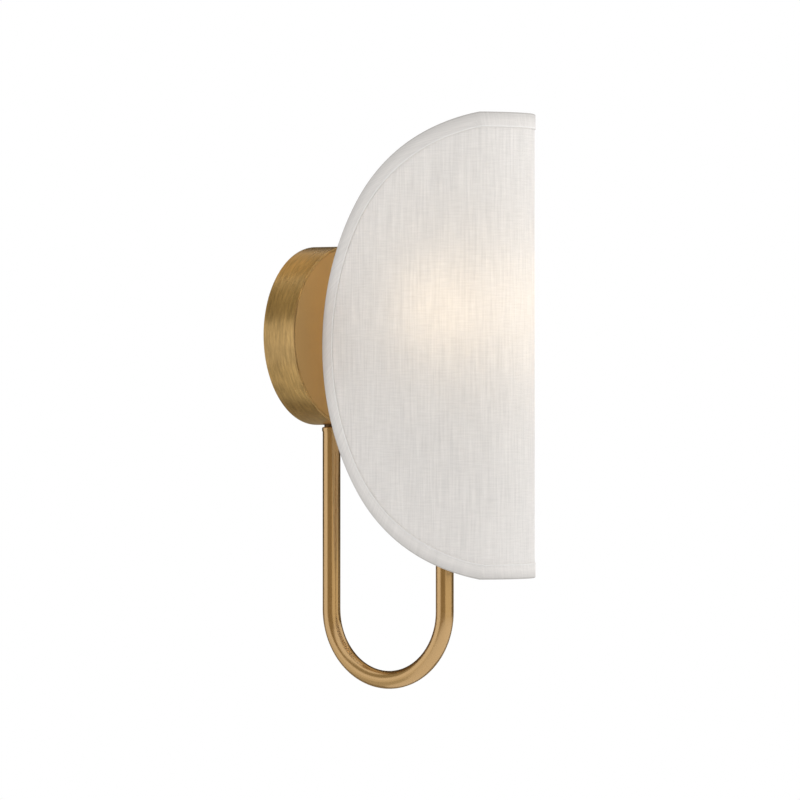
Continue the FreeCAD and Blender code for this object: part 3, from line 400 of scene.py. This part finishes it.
class Plan:
    """The bent sheet's outer face from above: a nose arc, two side arcs, two tails.

    s is the length along the outer face from the middle of the nose, positive
    towards +X, and depth is the distance inwards from that face.
    """
    nose_length = NOSE_RADIUS * NOSE_ANGLE
    side_length = SIDE_RADIUS * SIDE_ANGLE
    nose_centre = SHADE_FRONT - NOSE_RADIUS
    side_x = (NOSE_RADIUS - SIDE_RADIUS) * math.sin(NOSE_ANGLE)
    side_reach = nose_centre + (NOSE_RADIUS - SIDE_RADIUS) * math.cos(NOSE_ANGLE)

    @classmethod
    def heading(cls, s):
        """The angle from -Y of the outward direction at that length."""
        run = abs(s)
        if run <= cls.nose_length:
            return run / NOSE_RADIUS
        return NOSE_ANGLE + min((run - cls.nose_length) / SIDE_RADIUS, SIDE_ANGLE)

    @classmethod
    def point(cls, s, depth, height):
        """The place at that length, that deep in the sheet and that high."""
        run, turn = abs(s), cls.heading(s)
        if run <= cls.nose_length:
            x = (NOSE_RADIUS - depth) * math.sin(turn)
            reach = cls.nose_centre + (NOSE_RADIUS - depth) * math.cos(turn)
        else:
            x = cls.side_x + (SIDE_RADIUS - depth) * math.sin(turn)
            reach = cls.side_reach + (SIDE_RADIUS - depth) * math.cos(turn)
            beyond = max(run - cls.nose_length - cls.side_length, 0)
            x += beyond * math.cos(turn)
            reach -= beyond * math.sin(turn)
        return Vector((math.copysign(x, s), -reach, height))

    @classmethod
    def length_at(cls, reach):
        """How far along the outer face that distance from the wall lies."""
        back = NOSE_ANGLE + SIDE_ANGLE
        tail_start = cls.side_reach + SIDE_RADIUS * math.cos(back)
        if reach < tail_start:
            return cls.nose_length + cls.side_length + (tail_start - reach) / math.sin(back)
        side_start = cls.nose_centre + NOSE_RADIUS * math.cos(NOSE_ANGLE)
        if reach < side_start:
            turn = math.acos((reach - cls.side_reach) / SIDE_RADIUS)
            return cls.nose_length + SIDE_RADIUS * (turn - NOSE_ANGLE)
        return NOSE_RADIUS * math.acos((reach - cls.nose_centre) / NOSE_RADIUS)


TRIM_DEPTH = SHADE_FRONT - CORNER_SETBACK - TRIM_MIDDLE
TRIM_RADIUS = (TRIM_DEPTH ** 2 + HALF_HEIGHT ** 2) / (2 * TRIM_DEPTH)
TRIM_CENTRE = TRIM_MIDDLE + TRIM_RADIUS


def edge_reach(rise, margin):
    """Where the curved edge lies at that height above the shade's middle."""
    return TRIM_CENTRE - math.sqrt((TRIM_RADIUS - margin) ** 2 - rise ** 2)


def edge_length(rise, margin):
    """How far along the outer face the curved edge lies at that height."""
    return Plan.length_at(edge_reach(rise, margin))


SHEET_ROWS = 156
SHEET_COLUMNS = 176
SHEET_LIMIT = HALF_HEIGHT - SHEET_MARGIN
SHEET_CREASE = 50
AREA_STRIPS = 400
# Waves to the metre along the sheet and up, and where the noise is sliced.
RIPPLE = 0.12 * MM
RIPPLE_WAVES = (22, 13)
RIPPLE_SLICE = 0.7


def ripple(s, height):
    """How far a real bent sheet wanders from its true curve, inwards."""
    spot = Vector((s * RIPPLE_WAVES[0], height * RIPPLE_WAVES[1], RIPPLE_SLICE))
    return RIPPLE * (0.5 + 0.5 * noise.noise(spot))


def make_sheet():
    """The linen and its lining as one thin shell, cut to the curved outline."""
    rises = ladder(-SHEET_LIMIT, SHEET_LIMIT, SHEET_ROWS)
    points, uvs = [], []
    for depth in (0.0, SHEET_THICKNESS):
        for rise in rises:
            half_width = edge_length(rise, SHEET_MARGIN)
            for s in ladder(-half_width, half_width, SHEET_COLUMNS):
                height = rise - CENTRE_DROP
                points.append(Plan.point(s, depth + ripple(s, height), height))
                uvs.append((s, height))
    faces, slots = [], []
    layer = SHEET_ROWS * SHEET_COLUMNS

    def at(depth, row, column):
        return depth * layer + row * SHEET_COLUMNS + column

    for row in range(SHEET_ROWS - 1):
        for column in range(SHEET_COLUMNS - 1):
            corners = [(row, column), (row, column + 1), (row + 1, column + 1), (row + 1, column)]
            faces.append([at(0, *c) for c in corners])
            faces.append([at(1, *c) for c in reversed(corners)])
            slots += [0, 1]
    border = [(0, c) for c in range(SHEET_COLUMNS)]
    border += [(r, SHEET_COLUMNS - 1) for r in range(1, SHEET_ROWS)]
    border += [(SHEET_ROWS - 1, c) for c in range(SHEET_COLUMNS - 2, -1, -1)]
    border += [(r, 0) for r in range(SHEET_ROWS - 2, 0, -1)]
    for here, after in zip(border, border[1:] + border[:1]):
        faces.append([at(1, *here), at(1, *after), at(0, *after), at(0, *here)])
        slots.append(0)
    sheet = new_piece("shade_sheet", points, faces,
                      [MATERIALS["linen"], MATERIALS["shade_lining"]], slots, uvs)
    sharpen(sheet, SHEET_CREASE)
    return sheet


def sheet_area():
    """The flat sheet's area, and the width and height it is cut from."""
    height = 2 * SHEET_LIMIT
    widths = [2 * edge_length(rise, SHEET_MARGIN)
              for rise in ladder(-SHEET_LIMIT, SHEET_LIMIT, AREA_STRIPS)]
    return sum(widths) / AREA_STRIPS * height, (max(widths), height)


# The binding's section: distance in from the sheet's edge, and depth into it.
BEAD = 0.22 * MM
BINDING_SECTION = [
    (HEM_WIDTH, -0.02 * MM),
    (HEM_WIDTH + 0.15 * MM, -0.40 * MM),
    (HEM_WIDTH - 0.15 * MM, -HEM_PROUD - BEAD * 0.8),
    (HEM_WIDTH - 0.60 * MM, -HEM_PROUD - BEAD),
    (HEM_WIDTH - 1.00 * MM, -HEM_PROUD - BEAD * 0.5),
    (HEM_WIDTH - 1.30 * MM, -HEM_PROUD + 0.05 * MM),
    (7.4 * MM, -HEM_PROUD),
    (6.0 * MM, -HEM_PROUD),
    (4.6 * MM, -HEM_PROUD),
    (3.2 * MM, -HEM_PROUD),
    (1.8 * MM, -HEM_PROUD - 0.05 * MM),
    (0.9 * MM, -HEM_PROUD),
    (0.35 * MM, -0.25 * MM),
    (0.06 * MM, 0.30 * MM),
    (0.0 * MM, 1.2 * MM),
    (0.0 * MM, 2.6 * MM),
    (0.25 * MM, 3.4 * MM),
    (0.9 * MM, 3.9 * MM),
    (2.0 * MM, ROLL_DEPTH),
    (3.1 * MM, 3.85 * MM),
    (3.8 * MM, 3.3 * MM),
    (4.0 * MM, 2.4 * MM),
    (3.9 * MM, 1.32 * MM),
    (0.46 * MM, 1.32 * MM),
    (0.46 * MM, -0.02 * MM),
]
# Places in that section: the raised inner edge, painted lighter as a highlight, the fold
# at the sheet's edge, painted darker as shade, and the points on the outer side.
BEAD_HIGHLIGHT_FACES = range(2, 4)
FOLD_SHADE_FACES = range(11, 16)
OUTER_POINTS = range(1, 12)
CURVED_STEPS = 260
LEVEL_STEPS = 120
BINDING_CREASE = 60
# The tape's pucker: waves to the metre along it and across, and the noise's middle.
PUCKER = 0.08 * MM
PUCKER_WAVES = (240, 160)
PUCKER_SLICE = 3.1
PUCKER_MIDDLE = 0.4


def binding_line(margin, depth):
    """The binding's closed line at one margin and depth, each point with its place along.

    The places along leave a gap from each of the four stretches to the next.
    """
    limit = HALF_HEIGHT - margin
    corner = edge_length(limit, margin)
    line = []

    def add(s, rise, along):
        line.append((Plan.point(s, depth, rise - CENTRE_DROP), along))

    rises = ladder(-limit, limit, CURVED_STEPS)
    along = 0.0
    for rise in rises[:-1]:
        add(-edge_length(rise, margin), rise, along + rise + limit)
    along += 2 * HALF_HEIGHT
    for s in ladder(-corner, corner, LEVEL_STEPS)[:-1]:
        add(s, limit, along + s + corner)
    along += 4 * NOSE_RADIUS
    for rise in reversed(rises[1:]):
        add(edge_length(rise, margin), rise, along + limit - rise)
    along += 2 * HALF_HEIGHT
    for s in reversed(ladder(-corner, corner, LEVEL_STEPS)[1:]):
        add(s, -limit, along + corner - s)
    return line


def puckered(point, along, margin):
    """That point of the tape's outer side, moved a little in or out."""
    spot = Vector((along * PUCKER_WAVES[0], margin * PUCKER_WAVES[1], PUCKER_SLICE))
    outward = Vector((point.x, point.y + LAMP_REACH, 0)).normalized()
    return point + outward * PUCKER * (noise.noise(spot) - PUCKER_MIDDLE)


def make_binding():
    """The folded tape round the shade's whole edge, with a raised inner edge painted lighter as a
    highlight and a fold painted darker as shade.
    """
    lines = []
    for index, (margin, depth) in enumerate(BINDING_SECTION):
        line = binding_line(margin, depth)
        if index in OUTER_POINTS:
            line = [(puckered(point, along, margin), along) for point, along in line]
        lines.append(line)
    count = len(lines[0])
    points = [p for line in lines for p, _ in line]
    uvs = [(along, margin) for (margin, _), line in zip(BINDING_SECTION, lines)
           for _, along in line]
    faces, slots = [], []
    for k in range(len(lines)):
        follow = (k + 1) % len(lines)
        for i in range(count):
            after = (i + 1) % count
            faces.append((k * count + i, k * count + after, follow * count + after,
                          follow * count + i))
            # Slot 1 paints a highlight on the raised inner edge, slot 2 paints shade on the fold.
            slots.append(1 if k in BEAD_HIGHLIGHT_FACES else 2 if k in FOLD_SHADE_FACES else 0)
    binding = new_piece("shade_binding", points, faces,
                        [MATERIALS["linen_tape"], BINDING_BEAD_HIGHLIGHT, BINDING_FOLD_SHADE], slots, uvs)
    sharpen(binding, BINDING_CREASE)
    return binding


sheet = make_sheet()
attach(sheet, "shade")
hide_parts("shade_fabric", "shade_liner")

binding = make_binding()
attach(binding, "shade")
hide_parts("shade_hem")

cut_area, cut_size = sheet_area()

# ---------------------------------------------------------------- threads

# Heights are measured from the backplate's middle, and a thread is its depth and pitch.
SKIRT_BORE = 17.6 * MM
SKIRT_RADIUS = 19.2 * MM
SKIRT_FOOT = -61.0 * MM
SHOULDER_RADIUS = 24.0 * MM
SHOULDER_FOOT = -42.0 * MM
SHOULDER_TOP = -40.0 * MM
NECK_RADIUS = 19.6 * MM
NECK_BREAK = 0.6 * MM
NECK_TOP = -20.0 * MM
NECK_THREAD = (0.4 * MM, 2.0 * MM)
CAP_BORE = 11.3 * MM
CAP_RADIUS = 13.0 * MM
CAP_FOOT_RADIUS = 12.2 * MM
CAP_FOOT = -43.7 * MM
CAP_LEAD = 1.2 * MM
CAP_THREAD_TOP = -25.2 * MM
CAP_TOP = -21.7 * MM
CAP_THREAD = (0.9 * MM, 3.6 * MM)
THREAD_RINGS = 60
THREAD_STEPS = 84
THREAD_RUNOUT = 4
THREAD_CREASE = 35


def threaded(name, below, low, high, radius, above, thread, slot):
    """A turned piece: points of (radius, height) below, a threaded run, points above.

    thread is its (depth, pitch). The run's radius drops in a helix by up to depth
    and comes up to the full radius in a few rings at both ends.
    """
    depth, pitch = thread
    profile = below + [(radius, height) for height in ladder(low, high, THREAD_RINGS)] + above
    first, last = len(below), len(below) + THREAD_RINGS - 1
    points, faces = [], []
    count = len(profile)
    for i in range(THREAD_STEPS):
        share = i / THREAD_STEPS
        angle = 2 * math.pi * share
        for k, (reach, height) in enumerate(profile):
            if first <= k <= last:
                fade = min(k - first, last - k, THREAD_RUNOUT) / THREAD_RUNOUT
                wave = math.cos(2 * math.pi * (height / pitch + share))
                reach -= depth * fade * (0.5 - 0.5 * wave)
            points.append((reach * math.sin(angle), -LAMP_REACH + reach * math.cos(angle), height))
    for i in range(THREAD_STEPS):
        here, after = i * count, (i + 1) % THREAD_STEPS * count
        for k in range(count):
            follow = (k + 1) % count
            faces.append((here + k, here + follow, after + follow, after + k))
    thing = new_piece(name, points, faces, [MATERIALS[slot]])
    sharpen(thing, THREAD_CREASE)
    return thing


def make_skirt():
    """The holder's sleeve, with the thread that the shade's ring turns on."""
    below = [(SKIRT_BORE, SKIRT_FOOT), (SKIRT_RADIUS, SKIRT_FOOT), (SKIRT_RADIUS, SHOULDER_FOOT),
             (SHOULDER_RADIUS, SHOULDER_FOOT), (SHOULDER_RADIUS, SHOULDER_TOP)]
    above = [(NECK_RADIUS - NECK_BREAK, NECK_TOP), (SKIRT_BORE, NECK_TOP)]
    return threaded("holder_skirt", below, SHOULDER_TOP, NECK_TOP - NECK_BREAK, NECK_RADIUS,
                    above, NECK_THREAD, "white_plastic")


def make_cap():
    """The lamp's rolled screw cap."""
    below = [(CAP_BORE, CAP_FOOT), (CAP_FOOT_RADIUS, CAP_FOOT)]
    above = [(CAP_RADIUS, CAP_TOP), (CAP_BORE, CAP_TOP)]
    return threaded("screw_cap", below, CAP_FOOT + CAP_LEAD, CAP_THREAD_TOP, CAP_RADIUS,
                    above, CAP_THREAD, "nickel")


skirt = make_skirt()
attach(skirt, "wall_arm")
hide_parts("socket_skirt")
screw_cap = make_cap()
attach(screw_cap, "bulb")
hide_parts("bulb_cap")

# ---------------------------------------------------------------- camera

# A level view from about 55 degrees round to the left of the front.
VIEW_ANGLE = math.radians(54.675)
CAMERA_PLACE = (-3.1827, -2.3246, -0.0432)
CAMERA_LENS = 262.67
CAMERA_SENSOR = 36.0
CAMERA_FAR = 50.0

camera_data = bpy.data.cameras.new("camera")
camera_data.sensor_width = CAMERA_SENSOR
camera_data.lens = CAMERA_LENS
camera_data.clip_end = CAMERA_FAR
camera = bpy.data.objects.new("camera", camera_data)
camera.location = CAMERA_PLACE
camera.rotation_euler = (math.pi / 2, 0.0, -VIEW_ANGLE)
bpy.context.scene.collection.objects.link(camera)
bpy.context.scene.camera = camera

# ---------------------------------------------------------------- studio

AMBIENT = 0.91
WHITE = (1.0, 1.0, 1.0, 1.0)
# Lamps, cards and the floor are set out round this place.
STUDIO_MIDDLE = Vector((0.0, -0.1, -0.05))
FLOOR_LEVEL = -0.60
FLOOR_RADIUS = 3.0
FLOOR_STEPS = 64
FLOOR_TONE = (0.93, 0.93, 0.93)
FLOOR_CLOUD = (3, 3, 3)
FLOOR_SPREAD = 0.01


def make_world():
    """Plain light all round; the camera, metal and glass see it as white."""
    world = bpy.data.worlds.new("studio")
    world.use_nodes = True
    tree = world.node_tree
    tree.nodes.clear()
    path = tree.nodes.new("ShaderNodeLightPath")
    seen = path.outputs["Is Camera Ray"]
    for kind in ("Is Glossy Ray", "Is Transmission Ray"):
        either = tree.nodes.new("ShaderNodeMath")
        either.operation = "MAXIMUM"
        tree.links.new(seen, either.inputs[0])
        tree.links.new(path.outputs[kind], either.inputs[1])
        seen = either.outputs[0]
    light = tree.nodes.new("ShaderNodeBackground")
    light.inputs["Color"].default_value = WHITE
    light.inputs["Strength"].default_value = AMBIENT
    white = tree.nodes.new("ShaderNodeBackground")
    white.inputs["Color"].default_value = WHITE
    white.inputs["Strength"].default_value = 1.0
    mix = tree.nodes.new("ShaderNodeMixShader")
    tree.links.new(seen, mix.inputs[0])
    tree.links.new(light.outputs[0], mix.inputs[1])
    tree.links.new(white.outputs[0], mix.inputs[2])
    out = tree.nodes.new("ShaderNodeOutputWorld")
    tree.links.new(mix.outputs[0], out.inputs["Surface"])
    bpy.context.scene.world = world


def floor_material():
    """Pale from above, and clear to a camera that looks up from below it."""
    s = Shader("pale floor")
    cloud = s.noise(s.add("TexCoord", output="Object"), FLOOR_CLOUD)
    pale = s.add("BsdfDiffuse", {"Color": s.tint(FLOOR_TONE, s.around(cloud, FLOOR_SPREAD))})
    below = s.add("NewGeometry", output="Backfacing")
    clear = s.add("BsdfTransparent")
    return s.close(s.add("MixShader", {0: below, 1: pale, 2: clear}))


def make_floor():
    """A round floor some way under the light."""
    turns = [2 * math.pi * i / FLOOR_STEPS for i in range(FLOOR_STEPS)]
    rim = [(FLOOR_RADIUS * math.cos(turn), STUDIO_MIDDLE.y + FLOOR_RADIUS * math.sin(turn),
            FLOOR_LEVEL) for turn in turns]
    new_piece("floor", rim, [list(range(FLOOR_STEPS))], [floor_material()])


def direction(side, rise):
    """A unit vector by angles from the way to the camera: to the image's left, and up."""
    turn = VIEW_ANGLE + math.radians(side)
    lift = math.radians(rise)
    return Vector((-math.sin(turn) * math.cos(lift), -math.cos(turn) * math.cos(lift),
                   math.sin(lift)))


# Low cards are near enough to stand above the floor.
CARD_FAR = 2.4
CARD_LOW = 0.62
CARD_NEAR = 0.6
CARD_COLUMNS = 17
CARD_ROWS = 9
# Each card: degrees to the side and up, what metal sees there, and how far off it is.
CARDS = {
    "card_front_left": ((-6, 56), (-36, 16), (0.36, 0.29, 0.17), CARD_FAR),
    "card_front_right": ((-95, -6), (-36, 16), (0.88, 0.83, 0.68), CARD_FAR),
    "card_upper_left": ((40, 112), (16, 50), (0.44, 0.40, 0.30), CARD_FAR),
    "card_upper_back": ((112, 250), (34, 74), (0.60, 0.49, 0.31), CARD_FAR),
    "card_near_back": ((112, 225), (-2, 36), (0.10, 0.08, 0.05), CARD_NEAR),
    "card_behind": ((114, 262), (-10, 10), (0.10, 0.08, 0.05), CARD_FAR),
    "card_lower_left": ((60, 125), (-38, -22), (0.84, 0.82, 0.75), CARD_LOW),
    "card_under_left": ((60, 125), (-66, -38), (0.62, 0.60, 0.52), CARD_LOW),
    "card_lower_back": ((125, 235), (-62, -10), (0.32, 0.28, 0.20), CARD_LOW),
}


def make_card(name, sides, rises, colour, distance):
    """A curved card that only metal sees, between angles to the side and up."""
    points = [STUDIO_MIDDLE + direction(side, rise) * distance
              for rise in ladder(*rises, CARD_ROWS) for side in ladder(*sides, CARD_COLUMNS)]
    corners = [row * CARD_COLUMNS + column
               for row in range(CARD_ROWS - 1) for column in range(CARD_COLUMNS - 1)]
    faces = [(c, c + 1, c + CARD_COLUMNS + 1, c + CARD_COLUMNS) for c in corners]
    s = Shader(name)
    light = s.close(s.add("Emission", {"Color": (*colour, 1.0)}))
    card = new_piece(name, points, faces, [light])
    card.visible_camera = False
    card.visible_diffuse = False
    card.visible_transmission = False
    card.visible_volume_scatter = False
    card.visible_shadow = False


def make_lamp(name, place, outward, power, shape, size, colour=WHITE[:3]):
    """An area lamp that shines the way opposite to outward and that metal doesn't see."""
    data = bpy.data.lights.new(name, "AREA")
    data.shape = shape
    data.size, data.size_y = size
    data.energy = power
    data.color = colour
    lamp = bpy.data.objects.new(name, data)
    lamp.location = place
    lamp.rotation_euler = outward.to_track_quat("Z", "Y").to_euler()
    lamp.visible_glossy = False
    bpy.context.scene.collection.objects.link(lamp)
    return lamp


SOFT_LAMP_WAY = (-84, 34)
SOFT_LAMP_DISTANCE = 1.8
SOFT_LAMP_SIZE = 1.2
SOFT_LAMP_POWER = 7.0
# The lit bulb's light on the linen: strips beside it, each with its angle from -Y and
# its power.
GLOW_SIZE = (26 * MM, 42 * MM)
GLOW_PLACE = 16 * MM
GLOW_HEIGHT = 18 * MM
GLOW_COLOUR = (1.0, 0.78, 0.47)
GLOWS = {"glow_left": (-52, 0.0156), "glow_right": (52, 0.0156), "glow_front": (0, 0.0100)}


def make_soft_lamp():
    """The large lamp that models the shade's curve."""
    way = direction(*SOFT_LAMP_WAY)
    make_lamp("soft_lamp", STUDIO_MIDDLE + way * SOFT_LAMP_DISTANCE, way, SOFT_LAMP_POWER,
              "DISK", (SOFT_LAMP_SIZE, SOFT_LAMP_SIZE))


def make_glow(name, turn, power):
    """A lit strip beside the bulb that lights the linen at that angle from -Y."""
    aim = Vector((math.sin(math.radians(turn)), -math.cos(math.radians(turn)), 0.0))
    place = Vector((0, -LAMP_REACH, GLOW_HEIGHT)) + aim * GLOW_PLACE
    glow_lamp = make_lamp(name, place, -aim, power, "RECTANGLE", GLOW_SIZE, GLOW_COLOUR)
    glow_lamp.visible_camera = False


make_world()
make_floor()
for card_name, card_plan in CARDS.items():
    make_card(card_name, *card_plan)
make_soft_lamp()
for glow_name, glow_plan in GLOWS.items():
    make_glow(glow_name, *glow_plan)

bpy.context.scene.view_settings.view_transform = "Standard"
